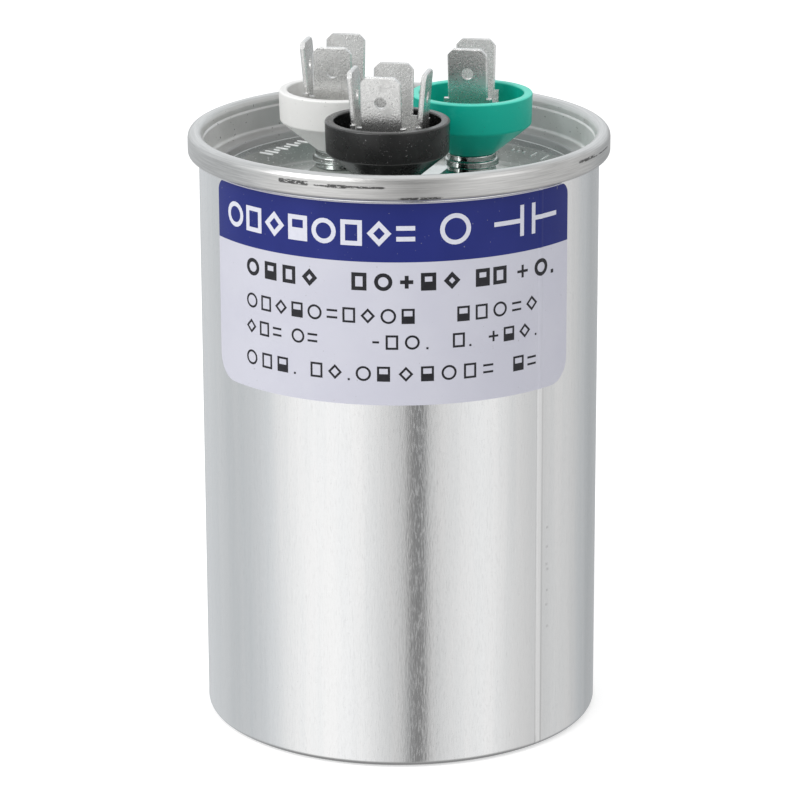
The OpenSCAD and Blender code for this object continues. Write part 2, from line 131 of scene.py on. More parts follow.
class Sheet:
    """A node tree and the one method that adds nodes to it."""

    def __init__(self, tree):
        self.tree = tree
        tree.nodes.clear()

    def node(self, kind, settings=None, sockets=(), output=0):
        """Adds a node, sets it up, then fills its sockets with numbers, colours or links."""
        made = self.tree.nodes.new(kind)
        for name, setting in (settings or {}).items():
            if name == "stops":
                self.set_stops(made.color_ramp, setting)
            else:
                setattr(made, name, setting)
        pairs = sockets.items() if isinstance(sockets, dict) else enumerate(sockets)
        for name, value in pairs:
            if isinstance(value, Value):
                self.tree.links.new(value.socket, made.inputs[name])
            else:
                made.inputs[name].default_value = value
        return Value(self, made.outputs[output])

    @staticmethod
    def set_stops(ramp, stops):
        """Fills a ramp with (position, grey level) stops in rising order."""
        while len(ramp.elements) < len(stops):
            ramp.elements.new(0.5)
        for element, (position, level) in zip(ramp.elements, stops):
            element.position = position
            element.color = (level, level, level, 1)

    def vector(self, x, y, z):
        """A vector from three numbers or values."""
        return self.node("ShaderNodeCombineXYZ", {}, [x, y, z])

    def noise(self, where, detail=2.0, roughness=0.5, scale=1.0):
        """Smooth noise from 0 to 1 about 0.5, with features about 1 / scale across."""
        return self.node("ShaderNodeTexNoise", {"noise_dimensions": "3D"},
                         {"Vector": where, "Scale": scale, "Detail": detail,
                          "Roughness": roughness})

    def mix(self, factor, first, second):
        """A colour that goes from first to second."""
        return self.node("ShaderNodeMix", {"data_type": "RGBA"},
                         {0: factor, 6: first, 7: second}, output=2)


class Finish(Sheet):
    """A material whose pattern is worked out from the place on the piece."""

    def __init__(self, name, **constants):
        self.material = bpy.data.materials.new(name)
        self.material.use_nodes = True
        super().__init__(self.material.node_tree)
        self.shader = self.tree.nodes.new("ShaderNodeBsdfPrincipled")
        surface = self.tree.nodes.new("ShaderNodeOutputMaterial")
        self.tree.links.new(self.shader.outputs[0], surface.inputs[0])
        for socket, value in constants.items():
            self.shader.inputs[socket.replace("_", " ")].default_value = value
        place = self.node("ShaderNodeTexCoord", output="Object")
        self.place = self.node("ShaderNodeVectorMath", {"operation": "SCALE"},
                               {0: place, "Scale": 1 / MM})
        self.x, self.y, self.z = (self.node("ShaderNodeSeparateXYZ", {}, [self.place], axis)
                                  for axis in range(3))

    def feed(self, **values):
        """Links what varies over the surface to the shader's sockets."""
        for socket, value in values.items():
            self.tree.links.new(value.socket, self.shader.inputs[socket.replace("_", " ")])

    def angle(self):
        """Angle round the can, 0 at the front and positive to the right."""
        return self.x.maths("ARCTAN2", self.y * -1) * math.degrees(1)

    def radius(self):
        """Distance from the can's axis."""
        return (self.x * self.x + self.y * self.y).maths("SQRT")

    def grain(self, across, along):
        """Noise drawn out up and down the can: features per millimetre across and along."""
        return self.vector(self.x * across, self.y * across, self.z * along)

    def turned(self, across, along):
        """Noise drawn out round the can's axis: features per millimetre across and along."""
        r = self.radius()
        return self.vector(self.x * along + r * across, self.y * along, self.z * across)

    def specks(self, per_mm, share):
        """1 in scattered specks. share is about how much of the surface they take."""
        spots = self.noise(self.place, detail=1.0, scale=per_mm)
        edge = 0.80 - share
        return spots.rise(edge - 0.02, edge + 0.02)

    def patches(self, places):
        """Soft patches on the can's side: angle, half width, fade, height, half height, fade."""
        angle, total = self.angle(), 0
        for turn, half_turn, fade_round, level, half_height, fade_up in places:
            total = (angle.near(turn, half_turn, fade_round)
                     * self.z.near(level, half_height, fade_up) + total)
        return total

    def bump(self, height_mm, value):
        """Relief of that height where value goes from 0 to 1."""
        return self.node("ShaderNodeBump", {}, {"Strength": 1.0, "Distance": height_mm * MM,
                                                "Height": value})


def grey(level, tint=(1, 1, 1)):
    """A grey of that level, tinted a little."""
    return (level * tint[0], level * tint[1], level * tint[2], 1)


# ---- Metal finishes ----


# Patches on the can's side: angle, half its width and its fade in degrees, then height, half its
# height and its fade in millimetres
DENTS = tuple((turn, 0.25, 0.5, level, 0.1, 0.22) for turn, level in (
    (46.9, 19.9), (46.6, 23.6), (46.8, 26), (46.9, 29.5), (46.5, 30.4), (46.6, 33.3), (46.7, 36.5)))
SCUFFS = (
    (-28.7, 4.0, 0.8, 94.55, 0.16, 0.35),
    (-16.5, 2.2, 1.0, 94.48, 0.12, 0.3),
    (-8.7, 4.2, 1.5, 94.5, 0.05, 0.25),
    (-20.6, 1.6, 1.0, 94.42, 0.02, 0.2),
    (5.5, 3.5, 4, 92.8, 0.08, 0.25),
    (60.3, 3.8, 1.5, 94.78, 0.08, 0.3),
    (71, 5.0, 2.5, 94.62, 0.02, 0.15),
)


def can_aluminium():
    """Bright drawn can, brushed up and down, with fine scores and a few small dents."""
    f = Finish("can_aluminium", Metallic=1.0)
    broad = f.noise(f.grain(0.5, 0.02), detail=2.0)
    streaks = f.noise(f.grain(1.6, 0.07), detail=3.0, roughness=0.6)
    fine = f.noise(f.grain(4.2, 0.7), detail=1.0, roughness=0.6)
    frosted = f.noise(f.grain(5.2, 0.8), detail=2.0, roughness=0.6).rise(0.44, 0.66)
    frost = f.noise(f.grain(2.2, 0.9), detail=3.0, roughness=0.75)
    scores = f.noise(f.grain(5, 0.5), detail=2.0).rise(0.66, 0.72)
    pits = f.specks(3.5, 0.05)
    dents = f.patches(DENTS)
    marks = (scores * 0.35 + pits * 0.5 + dents * 0.7).rise(0.0, 1.0)
    base = f.mix(broad.rise(0.3, 0.7), grey(0.855, (0.99, 1, 1.005)), grey(0.885))
    base = f.mix(streaks.rise(0.35, 0.75) * 0.15, base, grey(0.94))
    base = f.mix(fine.rise(0.56, 0.70) * 0.08, base, grey(0.60))
    base = f.mix(frost.rise(0.55, 0.72) * 0.25, base, grey(0.97))
    base = f.mix(marks * 0.45, base, grey(0.42))

    # Painted highlight on the draw line's crest; painted shade down its sides, most at its foot
    angle = f.angle()
    crest = angle.near(LINE_ANGLE + 0.35, 0.6, 0.3)
    flanks = angle.near(LINE_ANGLE - 0.75, 0.12, 0.3) + angle.near(LINE_ANGLE + 1.45, 0.12, 0.3)
    base = f.mix(flanks * (0.45 - f.z * 0.0035), base, grey(0.50))
    base = f.mix(crest * 0.85, base, grey(0.99))

    # Painted shade: the can's bottom edge is darker where it stands on the floor
    foot = f.z.rise(0.85, 0.4)
    base = f.mix(foot * 0.6, base, grey(0.33))
    f.feed(Base_Color=base,
           Roughness=0.02 + streaks * 0.03 + fine * 0.03 + frosted * 0.20 + marks * 0.1,
           Normal=f.bump(0.012, streaks * 0.3 + fine * 0.5 + frost * 0.3
                         - dents * 0.9 - pits * 0.2))
    return f.material


def lid_tinplate():
    """Pressed tinplate: a mirror deck, a satin shelf and wall round it, and a burnished seam."""
    f = Finish("lid_tinplate")
    r = f.radius()

    # Where the finish changes
    seam = r.rise(SEAM_IN_R - 0.5, SEAM_IN_R + 0.5)
    neck = f.z.rise(DECK + 0.05, DECK + 0.3) * r.rise(24, 22)
    step = r.near(STEP_R, 0.35, 0.1) * f.z.rise(DECK + 0.02, DECK + 0.1)
    well = (r.rise(SHELF_R - 0.2, SHELF_R + 0.2) * (1 - seam) + step).rise(0, 1)
    wall = r.rise(LID_WALL_R - 0.25, LID_WALL_R + 0.25)

    turned = f.noise(f.turned(4.5, 0.14), detail=4.0, roughness=0.7)
    clouds = f.noise(f.place, detail=3.0, scale=0.22)
    ripple = f.noise(f.place, detail=2.0, scale=0.9)
    scuffed = f.noise(f.turned(4, 1.2), detail=3.0, roughness=0.8).rise(0.36, 0.50)
    scuffs = (f.patches(SCUFFS) * scuffed).rise(0, 0.9)
    specks = f.specks(2.0, 0.055) * (1 - seam)
    dust = f.specks(3.4, 0.07) * (1 - seam) * (1 - well)

    deck = f.mix(clouds.rise(0.35, 0.7),
                 grey(0.52, (0.94, 1, 0.965)), grey(0.62, (0.96, 1, 0.98)))
    rim = f.mix(turned.rise(0.3, 0.7),
                grey(0.56, (1, 0.995, 0.98)), grey(0.72, (1, 0.995, 0.98)))
    tone = clouds.rise(0.3, 0.7)
    # Shelf painted darker than the wall inside the lid, both the same tinplate: painted shade
    shelf = f.mix(tone, grey(0.42, (1, 1, 0.98)), grey(0.50, (1, 1, 0.99)))
    inner = f.mix(tone, grey(0.72, (1, 1, 0.98)), grey(0.84, (1, 1, 0.99)))
    satin = f.mix(wall, shelf, inner)
    # The back of the shelf and of the inner wall is painted darker: painted shade
    satin = f.mix(f.y.rise(8, 26) * 0.75, satin, grey(0.42))
    # The step up from the deck is painted dark grey: painted shade
    base = f.mix(seam, f.mix(well, deck, f.mix(step, satin, grey(0.36))), rim)
    base = f.mix((scuffs * 0.85 + specks * 0.85).rise(0, 1), base, grey(0.08))
    base = f.mix(dust * (1 - specks), base, grey(0.95))
    f.feed(Base_Color=base,
           Metallic=1 - well * 0.65,
           Roughness=0.03 + clouds * 0.03 + neck * 0.08 + well * 0.26
           + seam * (0.20 + turned * 0.16) + scuffs * 0.2 + dust * 0.5,
           Normal=f.bump(0.007, turned * seam + ripple * 0.17))
    return f.material


def stamped_mark():
    """A stamped stroke, painted pale: a painted highlight on its raised ridge."""
    f = Finish("stamped_mark", Metallic=0.4)
    grain = f.noise(f.place, detail=2.0, scale=3)
    f.feed(Base_Color=f.mix(grain, grey(0.92, (0.98, 1, 0.99)), grey(0.99)),
           Roughness=0.28 + grain * 0.12)
    return f.material


def tab_tinned_brass():
    """Tinned strip, satin and finely grained, with faint stains and nicks."""
    f = Finish("tab_tinned_brass", Metallic=0.91)
    clouds = f.noise(f.place, detail=3.0, scale=0.5)
    grain = f.noise(f.place, detail=2.0, roughness=0.7, scale=3.4)
    stain = f.noise(f.place, detail=2.0, scale=0.45).rise(0.52, 0.72)
    nicks = f.specks(3.0, 0.055)
    base = f.mix(clouds, grey(0.75, (1, 1, 0.985)), grey(0.88, (1, 1, 0.99)))
    base = f.mix(stain * 0.3, base, grey(0.62, (1, 0.99, 0.97)))
    base = f.mix(grain.rise(0.4, 0.75) * 0.25, base, grey(0.40))
    base = f.mix(nicks * 0.6, base, grey(0.15))
    f.feed(Base_Color=base,
           Roughness=0.19 + grain * 0.14 + stain * 0.06,
           Normal=f.bump(0.045, grain + nicks * 0.4))
    return f.material


def plain_metal(name, dark, bright, rough, scale):
    """A metal that is seldom seen: two tones, a little uneven."""
    f = Finish(name, Metallic=1.0)
    clouds = f.noise(f.place, detail=4.0, roughness=0.6, scale=scale)
    f.feed(Base_Color=f.mix(clouds.rise(0.3, 0.7), (*dark, 1), (*bright, 1)),
           Roughness=rough + clouds * 0.15,
           Normal=f.bump(0.01, clouds))
    return f.material


# ---- Other finishes ----


def moulded(name, band, lip, cone, dust, gloss, speck_share, painted_edge_highlight, **constants):
    """A moulded cup: colours of its band, lip (wear and painted highlight), cone and dust, and how
    strong its painted edge highlight is.
    """
    f = Finish(name, IOR=1.5, **constants)
    cone_top = CUP_LIP - CUP_BAND_H
    # The cone is painted lighter than the band, though both are the same plastic: painted light on
    # its downward face
    base = f.mix(f.z.rise(cone_top + 0.1, cone_top - 0.1), (*band, 1), (*cone, 1))
    # The lip's top is lighter: wear, and a painted highlight
    base = f.mix(f.z.rise(CUP_LIP - 0.3, CUP_LIP - 0.08) * 0.85, base, (*lip, 1))
    # A painted highlight along the edge where the band meets the cone
    base = f.mix(f.z.near(cone_top, 0.03, 0.12) * painted_edge_highlight, base, (*lip, 1))
    tone = f.noise(f.place, detail=3.0, scale=0.5)
    base = f.mix(tone.rise(0.55, 0.75) * 0.12, base, (*lip, 1))
    flecks = f.specks(4.2, speck_share)
    base = f.mix(flecks * 0.7, base, (*dust, 1))
    texture = f.noise(f.place, detail=3.0, roughness=0.6, scale=4.5)
    f.feed(Base_Color=base,
           Roughness=gloss + tone * 0.12 + flecks * 0.2,
           Normal=f.bump(0.010, texture + flecks * 0.6))
    return f.material


def cup_black():
    """Black cup, satin, with a painted highlight along the edge where the band meets the cone."""
    return moulded("cup_black", band=(0.0055, 0.0057, 0.0057), lip=(0.050, 0.050, 0.049),
                   cone=(0.020, 0.020, 0.020), dust=(0.36, 0.36, 0.36),
                   gloss=0.22, speck_share=0.045, painted_edge_highlight=0.7, Specular_IOR_Level=0.55)


def cup_white():
    """White cup, matt, with dark dust."""
    return moulded("cup_white", band=(0.83, 0.83, 0.815), lip=(0.93, 0.93, 0.92),
                   cone=(0.96, 0.955, 0.94), dust=(0.20, 0.19, 0.18),
                   gloss=0.42, speck_share=0.03, painted_edge_highlight=0.0, Specular_IOR_Level=0.3)


def cup_green():
    """Green cup, satin, with dark dust."""
    return moulded("cup_green", band=(0.003, 0.47, 0.352), lip=(0.12, 0.80, 0.64),
                   cone=(0.010, 0.62, 0.47), dust=(0.02, 0.10, 0.08),
                   gloss=0.32, speck_share=0.045, painted_edge_highlight=0.0, Specular_IOR_Level=0.3)


def plain_insulation(name, dark, bright, rough, scale):
    """Card, board or moulding under the lid: two tones and a fine texture."""
    f = Finish(name)
    fibres = f.noise(f.vector(f.x * scale, f.y * scale, f.z * scale * 0.4), detail=4.0)
    f.feed(Base_Color=f.mix(fibres.rise(0.3, 0.7), (*dark, 1), (*bright, 1)),
           Roughness=rough + fibres * 0.15,
           Normal=f.bump(0.02, fibres))
    return f.material


def wound(name, dark, bright, metallic):
    """A roll of film: its turns show as rings on the ends and as faint lines along the side."""
    f = Finish(name, Metallic=metallic)
    turns = f.noise(f.turned(6, 0.02), detail=2.0)
    f.feed(Base_Color=f.mix(turns.rise(0.3, 0.7), (*dark, 1), (*bright, 1)),
           Roughness=0.25 + turns * 0.2,
           Normal=f.bump(0.008, turns))
    return f.material


def label_film():
    """Satin film: a pale panel, a blue band over it, and a thin unprinted margin on top."""
    f = Finish("label_film", IOR=1.46, Specular_IOR_Level=0.28)
    weave = f.noise(f.grain(3, 3), detail=3.0, scale=1.6)
    tone = f.noise(f.place, detail=2.0, scale=0.12)
    flecks = f.specks(2.2, 0.02)
    panel = f.mix(tone.rise(0.3, 0.7), (0.555, 0.557, 0.635, 1), (0.575, 0.577, 0.65, 1))
    blue = f.mix(tone.rise(0.3, 0.7), (0.011, 0.0195, 0.162, 1), (0.0145, 0.0235, 0.18, 1))
    band = (f.z.rise(BAND_LOW - 0.02, BAND_LOW + 0.02)
            * f.z.rise(LABEL_TOP - 0.14, LABEL_TOP - 0.18))
    base = f.mix(flecks * 0.5, f.mix(band, panel, blue), grey(0.3))
    f.feed(Base_Color=base,
           Roughness=0.36 + weave * 0.08,
           Normal=f.bump(0.002, weave))
    return f.material


def ink(name, colour, worn):
    """Printing ink on the film, very slightly uneven."""
    f = Finish(name, IOR=1.46, Specular_IOR_Level=0.4)
    cover = f.noise(f.place, detail=2.0, scale=1.5)
    f.feed(Base_Color=f.mix(cover.rise(0.35, 0.8) * 0.15, (*colour, 1), (*worn, 1)),
           Roughness=0.38 + cover * 0.1)
    return f.material


def finish_of_nodes():
    """The finish of each node of the part."""
    insulator = plain_insulation("insulator_plastic",
                                 (0.70, 0.66, 0.56), (0.80, 0.77, 0.68), 0.4, 1.2)
    card = plain_insulation("insulator_card", (0.62, 0.57, 0.45), (0.76, 0.71, 0.58), 0.7, 2.0)
    board = plain_insulation("phenolic_board", (0.20, 0.075, 0.03), (0.30, 0.12, 0.05), 0.45, 2.5)
    core = plain_insulation("core_plastic", (0.02, 0.02, 0.022), (0.04, 0.04, 0.043), 0.4, 1.0)
    rubber = plain_insulation("seam_rubber", (0.02, 0.02, 0.022), (0.04, 0.04, 0.043), 0.7, 2.0)
    wrap = wound("wrap_film", (0.62, 0.62, 0.55), (0.78, 0.78, 0.72), 0.0)
    roll = wound("metallised_film", (0.42, 0.40, 0.36), (0.60, 0.58, 0.54), 0.8)
    zinc = plain_metal("sprayed_zinc", (0.30, 0.31, 0.32), (0.48, 0.49, 0.50), 0.6, 3.0)
    rivet = plain_metal("rivet_steel", (0.42, 0.41, 0.39), (0.68, 0.67, 0.64), 0.22, 1.5)
    brass = plain_metal("lug_brass", (0.62, 0.44, 0.17), (0.80, 0.60, 0.28), 0.25, 1.5)
    strip = plain_metal("lead_tinned_copper", (0.55, 0.52, 0.48), (0.74, 0.72, 0.69), 0.28, 1.5)
    tabs = tab_tinned_brass()
    nodes = {
        "can": can_aluminium(), "lid": lid_tinplate(), "label": label_film(),
        "seam_compound": rubber,
        "cup_common": cup_black(), "cup_compressor": cup_white(), "cup_fan": cup_green(),
        "disconnect_plate": board, "spacer_ring": card, "base_cup": insulator, "core_tube": core,
        "section_fan": roll, "section_compressor": roll, "divider_wrap": wrap, "outer_wrap": wrap,
    }
    for name in TERMINALS:
        nodes[f"tabs_{name}"] = tabs
        nodes[f"rivet_{name}"] = rivet
        nodes[f"bushing_{name}"] = insulator
        nodes[f"lug_{name}"] = brass
        nodes[f"lead_{name}"] = strip
        nodes[f"zinc_{name}"] = zinc
    return nodes


# ---- Meshes and objects ----


def new_mesh(name, points, faces, material=None):
    """A mesh from points in metres, and faces that are lists of point numbers."""
    mesh = bpy.data.meshes.new(name)
    mesh.from_pydata(points, [], faces)
    if material:
        mesh.materials.append(material)
    return mesh


def placed(name, data):
    """An object with that data, linked into the scene."""
    thing = bpy.data.objects.new(name, data)
    bpy.context.scene.collection.objects.link(thing)
    return thing


def next_in(ring, i):
    """The index after i in a closed ring."""
    return (i + 1) % len(ring)


# ---- The drawn can ----


def bent(corners, steps=10):
    """Points along a path through corners: each (x, z), or (x, z, bend radius) for a round one."""
    points = []
    for i, corner in enumerate(corners):
        here = Vector(corner[:2])
        if len(corner) == 2:
            points.append(here)
            continue
        back = (Vector(corners[i - 1][:2]) - here).normalized()
        ahead = (Vector(corners[i + 1][:2]) - here).normalized()
        half = back.angle(ahead) / 2
        centre = here + (back + ahead).normalized() * corner[2] / math.sin(half)
        first = here + back * corner[2] / math.tan(half) - centre
        last = here + ahead * corner[2] / math.tan(half) - centre
        turn = first.angle_signed(last)
        for k in range(steps + 1):
            points.append(centre + Matrix.Rotation(-turn * k / steps, 2) @ first)
    return points


def sheet_outline(path, thickness):
    """The closed outline of a sheet whose middle follows the path, outer side first."""
    outer, inner = [], []
    for i, point in enumerate(path):
        before = (path[max(i, 1)] - path[max(i, 1) - 1]).normalized()
        last = min(i + 1, len(path) - 1)
        after = (path[last] - path[last - 1]).normalized()
        side = Vector((before.y + after.y, -before.x - after.x)) / (1 + before.dot(after))
        outer.append(point + side * thickness / 2)
        inner.append(point - side * thickness / 2)
    return outer + inner[::-1]


def can_outline():
    """The can's sheet from the middle of its bottom up the wall and round to the seam's hook."""
    half = SHEET_T / 2
    wall, mouth, hook = (r - half for r in (WALL_R, 31.97, 33.1))
    wall_top, hook_end = SEAM_TOP - 2.45, SEAM_TOP - 2.75
    fold_top, fold_r = SEAM_TOP - 0.6, 0.5649
    return sheet_outline(bent([
        (0, half), (wall, half, 0.8),
        (wall, 1.6), (wall, 2.4), (wall, 30), (wall, 60), (wall, wall_top - 1.4),
        (wall, wall_top - 0.6), (wall, wall_top, 0.3), (mouth, wall_top + 0.3, 0.3),
        (mouth, fold_top, fold_r), (hook, fold_top, fold_r), (hook, hook_end),
    ]), SHEET_T)


def stations(low, high, step, ridge, half_width, fine):
    """Rising places from low to high, about step apart, and fine apart over the ridge."""
    count = math.ceil((high - low) / step)
    places = [low + (high - low) * i / count for i in range(count + 1)]
    places = [place for place in places if abs(place - ridge) > half_width]
    count = math.ceil(2 * half_width / fine)
    places += [ridge - half_width + 2 * half_width * i / count for i in range(count + 1)]
    return sorted(place for place in places if low <= place <= high)


def line_proud(x, z, turn):
    """How far the draw line stands proud at a point of the outline and an angle round the can."""
    line_low, line_top = 1, SEAM_TOP - 2.8
    if x <= WALL_R - 0.001 or not line_low < z < line_top:
        return 0
    off_line = math.radians(turn - LINE_ANGLE) * WALL_R / LINE_HALF_W
    ends = min(1, (z - line_low) / 1.4, (line_top - z) / 0.6)
    return LINE_H * max(0, 1 - off_line ** 2) * ends


def turned_round(outline, turns):
    """The outline turned round the can's axis, in millimetres, with the draw line raised.

    A point of the outline on the axis is a pole that all the rings share.
    """
    points = [(0, 0, z) for x, z in outline if x < 1e-6]
    poles = iter(range(len(points)))
    shared = [next(poles) if x < 1e-6 else None for x, _ in outline]
    rings = []
    for turn in turns:
        sine, cosine = math.sin(math.radians(turn)), math.cos(math.radians(turn))
        ring = []
        for pole, (x, z) in zip(shared, outline):
            if pole is None:
                r = x + line_proud(x, z, turn)
                pole = len(points)
                points.append((r * sine, -r * cosine, z))
            ring.append(pole)
        rings.append(ring)

    faces = []
    for ring, after in zip(rings, rings[1:] + rings[:1]):
        for i in range(len(outline)):
            k = next_in(outline, i)
            face = list(dict.fromkeys((ring[i], after[i], after[k], ring[k])))
            if len(face) > 2:
                faces.append(face)
    return points, faces


def drawn_can(material):
    """The can as one turned sheet, closed, with its draw line raised along the wall."""
    reach = math.degrees(LINE_HALF_W / WALL_R)
    turns = stations(-180, 180, step=1.5, ridge=LINE_ANGLE, half_width=reach * 1.6,
                     fine=reach / 14)[:-1]
    points, faces = turned_round(can_outline(), turns)
    mesh = new_mesh("can_drawn", [Vector(point) * MM for point in points], faces, material)
    mesh.shade_smooth()
    mesh.set_sharp_from_angle(angle=SHARP)
    can = placed("can_drawn", mesh)
    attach(can, "root")
    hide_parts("can")


# ---- The label's film and print ----


def wall_tree(name, material):
    """Geometry Nodes that lay a flat drawing, in millimetres, on the wall as a closed sheet.

    The drawing's x runs round the wall, its y up the can and its z outwards. The sheet follows
    the draw line under it.
    """
    tree = bpy.data.node_groups.new(name, "GeometryNodeTree")
    tree.interface.new_socket("Drawing", in_out="INPUT", socket_type="NodeSocketGeometry")
    sizes = ("Radius", "Lift", "Thickness", "Line place", "Line height", "Line half width")
    for size in sizes:
        tree.interface.new_socket(size, in_out="INPUT", socket_type="NodeSocketFloat")
    tree.interface.new_socket("Sheet", in_out="OUTPUT", socket_type="NodeSocketGeometry")
    s = Sheet(tree)
    drawing = s.node("NodeGroupInput", output="Drawing")
    radius, lift, thickness, line_place, line_h, line_half_w = (
        s.node("NodeGroupInput", output=size) for size in sizes)

    # A front face, its sides, and a back that faces the other way
    raised = s.node("GeometryNodeExtrudeMesh", {"mode": "FACES"}, {
        "Mesh": drawing, "Offset Scale": thickness, "Individual": False}, output="Mesh")
    front = Value(s, raised.socket.node.outputs["Top"])
    smooth = s.node("GeometryNodeSetShadeSmooth", {}, {"Geometry": raised, "Selection": front})
    back = s.node("GeometryNodeFlipFaces", {}, {"Mesh": drawing})
    both = s.node("GeometryNodeJoinGeometry")
    for side in (back, smooth):
        tree.links.new(side.socket, both.socket.node.inputs[0])
    closed = s.node("GeometryNodeMergeByDistance", {}, {"Geometry": both, "Distance": 0.0005})

    # Bent round the wall and over the draw line
    spot = s.node("GeometryNodeInputPosition")
    x, y, z = (s.node("ShaderNodeSeparateXYZ", {}, [spot], axis) for axis in range(3))
    off_line = (x - line_place) / line_half_w
    proud = (line_h * (1 - off_line * off_line)).maths("MAXIMUM", 0.0)
    depth = radius + lift + z + proud
    turn = x / radius
    wrapped = s.vector(depth * turn.maths("SINE"), depth * turn.maths("COSINE") * -1, y)
    metres = s.node("ShaderNodeVectorMath", {"operation": "SCALE"}, {0: wrapped, "Scale": MM})
    laid = s.node("GeometryNodeSetPosition", {}, {"Geometry": closed, "Position": metres})
    real = s.node("GeometryNodeRealizeInstances", {}, {"Geometry": laid})
    coloured = s.node("GeometryNodeSetMaterial", {}, {"Geometry": real, "Material": material})
    result = tree.nodes.new("NodeGroupOutput")
    tree.links.new(coloured.socket, result.inputs["Sheet"])
    return tree


def flat_drawing(name, outlines):
    """Closed outlines, in millimetres, as one flat object. Corners that meet are one point."""
    index, faces = {}, []
    for outline in outlines:
        corners = [index.setdefault((round(x, 4), round(y, 4)), len(index)) for x, y in outline]
        face = list(dict.fromkeys(corners))
        if len(face) > 2:
            faces.append(face)
    return placed(name, new_mesh(name, [(x, y, 0) for x, y in index], faces))


def lay_on_wall(name, material, outlines, lift, thickness):
    """Turns closed flat outlines, in millimetres, into one piece that lies on the wall."""
    drawing = flat_drawing(f"{name}_drawing", outlines)
    layer = drawing.modifiers.new("lay_on_wall", "NODES")
    layer.node_group = wall_tree(f"{name}_on_wall", material)
    sizes = {"Radius": FILM_R, "Lift": lift, "Thickness": thickness,
             "Line place": math.radians(LINE_ANGLE) * FILM_R, "Line height": LINE_H,
             "Line half width": LINE_HALF_W + 0.03}
    for item in layer.node_group.interface.items_tree:
        if item.in_out == "INPUT" and item.name in sizes:
            layer[item.identifier] = sizes[item.name]
    depsgraph = bpy.context.evaluated_depsgraph_get()
    laid = bpy.data.meshes.new_from_object(drawing.evaluated_get(depsgraph), depsgraph=depsgraph)
    laid.set_sharp_from_angle(angle=SHARP)
    bpy.data.objects.remove(drawing)
    piece = placed(name, laid)
    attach(piece, "root")
    return piece


def film_edges():
    """The film's left and right edges, in millimetres round the wall."""
    return (math.radians(LABEL_LEFT) * FILM_R, math.radians(LABEL_RIGHT) * FILM_R)


def film_stations():
    """Where the film and the print on it are cut so that they bend together with the wall."""
    left, right = film_edges()
    places = stations(left, right, step=0.8, ridge=math.radians(LINE_ANGLE) * FILM_R,
                      half_width=0.7, fine=0.08)
    for radius in (FILM_TOP_CORNER, FILM_LOW_CORNER):
        for turn in range(10, 90, 10):
            inset = radius * (1 - math.cos(math.radians(turn)))
            places += [left + inset, right - inset]
    return sorted(places)


def film_outlines():
    """The film as upright strips, with its corners rounded."""
    left, right = film_edges()

    def corner(place, radius):
        """How far a rounded corner draws in the edge at a place."""
        short = radius - min(place - left, right - place)
        return radius - math.sqrt(radius ** 2 - short ** 2) if short > 0 else 0

    edges = [(place, LABEL_LOW + corner(place, FILM_LOW_CORNER),
              LABEL_TOP - corner(place, FILM_TOP_CORNER)) for place in film_stations()]
    return [[(a, low_a), (b, low_b), (b, top_b), (a, top_a)]
            for (a, low_a, top_a), (b, low_b, top_b) in zip(edges, edges[1:])]


def cut_beyond(outline, place, side):
    """The part of a convex outline on one side of an upright line: side is 1 for right of it."""
    kept = []
    for (x0, y0), (x1, y1) in zip(outline, outline[1:] + outline[:1]):
        if (x0 - place) * side >= 0:
            kept.append((x0, y0))
        if (x0 - place) * (x1 - place) < 0:
            kept.append((place, y0 + (y1 - y0) * (place - x0) / (x1 - x0)))
    return kept


def sliced(outlines, places):
    """Convex outlines, each cut at every place that it spans."""
    slices = []
    for outline in outlines:
        low, high = min(x for x, _ in outline), max(x for x, _ in outline)
        ends = [low] + [place for place in places if low < place < high] + [high]
        for start, end in zip(ends, ends[1:]):
            piece = cut_beyond(cut_beyond(outline, start, 1), end, -1)
            if end - start > 0.001 and len(piece) > 2:
                slices.append(piece)
    return slices


def bar(left, low, width, height):
    """An upright rectangle."""
    return [(left, low), (left + width, low), (left + width, low + height), (left, low + height)]


def frame_of(corners, wall):
    """A frame inside a convex outline: one piece for each side, mitred where they meet."""
    inner = []
    for i, here in enumerate(corners):
        to_here = (here - corners[i - 1]).normalized()
        onwards = (corners[next_in(corners, i)] - here).normalized()
        inwards = Vector((-to_here.y - onwards.y, to_here.x + onwards.x))
        inner.append(here + inwards * wall / (1 + to_here.dot(onwards)))
    pieces = []
    for i in range(len(corners)):
        k = next_in(corners, i)
        pieces.append([tuple(corner) for corner in (corners[i], corners[k], inner[k], inner[i])])
    return pieces


def oval(left, low, width, height, wall, sides=20):
    """A ring."""
    centre = Vector((left + width / 2, low + height / 2))
    turns = [math.tau * i / sides for i in range(sides)]
    return frame_of([centre + Vector((width / 2 * math.cos(turn), height / 2 * math.sin(turn)))
                     for turn in turns], wall)


def diamond(left, low, width, height, wall):
    """An open diamond."""
    x, y = left + width / 2, low + height / 2
    return frame_of([Vector((left + width, y)), Vector((x, low + height)), Vector((left, y)),
                     Vector((x, low))], wall)


def window(left, low, width, height, wall):
    """An open square."""
    return frame_of([Vector(corner) for corner in bar(left, low, width, height)], wall)


# The width of each plain shape as a share of its height: an open and a half-filled square, a ring,
# a diamond, two bars, a dot as wide as a stroke, one bar and a cross
SHAPE_WIDTHS = {"w": 0.84, "t": 0.84, "o": 1.0, "d": 0.94, "=": 0.72, ".": 0, "-": 0.45, "+": 0.72}


